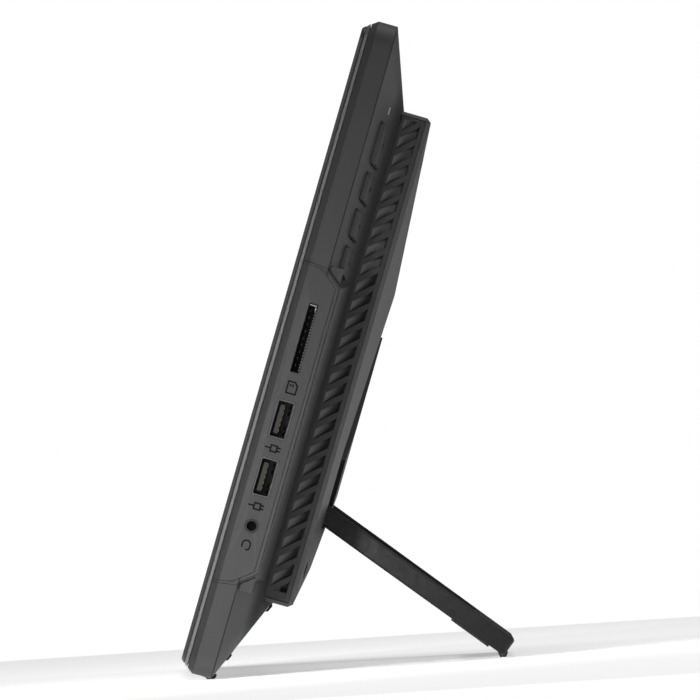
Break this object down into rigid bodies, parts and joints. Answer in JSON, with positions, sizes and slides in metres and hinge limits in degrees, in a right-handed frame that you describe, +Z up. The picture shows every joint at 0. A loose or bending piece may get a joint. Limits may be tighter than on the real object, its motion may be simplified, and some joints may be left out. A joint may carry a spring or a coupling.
{
  "type": "all-in-one computer",
  "caption": "Slim all-in-one computer with a sloped back, slanted side vents, a side port panel, side buttons and a fold-out frame stand.",
  "frame": {"origin": "on the desk under the middle of the overall box, with the machine standing on its feet and opened stand", "axes": "+X across the screen towards the port panel with the card slot, +Y from the screen towards the stand, +Z up"},
  "size_m": [0.387, 0.1182, 0.2282],
  "materials": {
    "screen_glass": "gloss",
    "bezel_plastic": "semi-gloss",
    "housing_plastic": "fine textured matte",
    "panel_plastic": "fine textured matte",
    "cover_plastic": "fine textured matte",
    "grille_plastic": "matte",
    "button_plastic": "satin",
    "light_guide": "frosted",
    "port_metal": "satin",
    "port_plastic": "satin",
    "circuit_board": "satin",
    "chip_plastic": "matte",
    "panel_metal": "satin",
    "sheet_steel": "satin",
    "copper": "satin",
    "insert_brass": "satin",
    "screw_steel": "blackened",
    "stand_metal": "matte black",
    "rubber": "matte",
    "ribbon": "satin",
    "lens": "gloss"
  },
  "bodies": {
    "housing": {"front_glass": "screen_glass", "bezel_ring": "bezel_plastic", "lcd_panel": "panel_metal", "panel_chassis": "sheet_steel", "webcam_module": "circuit_board", "webcam_lens": "lens", "microphones": "panel_metal", "rear_shell": "housing_plastic", "side_io_panel": "panel_plastic", "left_io_panel": "panel_plastic", "back_cover": "cover_plastic", "vent_grille_right": "grille_plastic", "vent_grille_left": "grille_plastic", "usb_port_upper": "port_metal", "usb_port_lower": "port_metal", "left_usb_port_upper": "port_metal", "left_usb_port_lower": "port_metal", "card_reader": "port_metal", "headset_jack": "port_plastic", "side_io_board": "circuit_board", "left_io_board": "circuit_board", "power_inlet": "port_plastic", "network_port": "port_plastic", "display_port": "port_metal", "lock_slot_plate": "sheet_steel", "button_switches": "chip_plastic", "button_board": "circuit_board", "light_pipe": "light_guide", "hinge_bracket_right": "sheet_steel", "hinge_bracket_left": "sheet_steel", "hinge_pin_right": "screw_steel", "hinge_pin_left": "screw_steel", "base_feet": "rubber", "slope_pads": "rubber", "main_board": "circuit_board", "processor": "chip_plastic", "heat_spreader": "copper", "heat_pipe": "copper", "heat_sink": "panel_metal", "memory_socket": "port_plastic", "memory_module": "circuit_board", "storage_module": "circuit_board", "wireless_card": "circuit_board", "coin_cell": "sheet_steel", "panel_cable": "ribbon", "speaker_right": "port_plastic", "speaker_left": "port_plastic", "antennas": "circuit_board", "mount_inserts": "insert_brass", "back_cover_screws": "screw_steel", "inside_screws": "screw_steel", "port_block_right": "housing_plastic", "port_block_left": "housing_plastic"},
    "stand": {"stand_frame": "stand_metal", "stand_pads": "rubber", "stand_edge_strip": "rubber"},
    "power_button": {"power_button": "button_plastic"},
    "brightness_up_button": {"brightness_up_button": "button_plastic"},
    "brightness_down_button": {"brightness_down_button": "button_plastic"},
    "menu_button": {"menu_button": "button_plastic"}
  },
  "joints": [
    {"name": "stand_hinge", "type": "hinge", "parent": "housing", "child": "stand", "pos_m": [0, -0.00654, 0.05611], "axis": [1, 0, 0], "range_deg": [0, 109.8]},
    {"name": "power_button_press", "type": "slide", "parent": "housing", "child": "power_button", "axis": [-0.3592, -0.8786, 0.3146], "range_m": [0, 0.0004], "stiffness_N_per_m": 800, "springref_m": -0.0004},
    {"name": "brightness_up_button_press", "type": "slide", "parent": "housing", "child": "brightness_up_button", "axis": [-0.3592, -0.8786, 0.3146], "range_m": [0, 0.0004], "stiffness_N_per_m": 800, "springref_m": -0.0004},
    {"name": "brightness_down_button_press", "type": "slide", "parent": "housing", "child": "brightness_down_button", "axis": [-0.3592, -0.8786, 0.3146], "range_m": [0, 0.0004], "stiffness_N_per_m": 800, "springref_m": -0.0004},
    {"name": "menu_button_press", "type": "slide", "parent": "housing", "child": "menu_button", "axis": [-0.3592, -0.8786, 0.3146], "range_m": [0, 0.0004], "stiffness_N_per_m": 800, "springref_m": -0.0004}
  ]
}
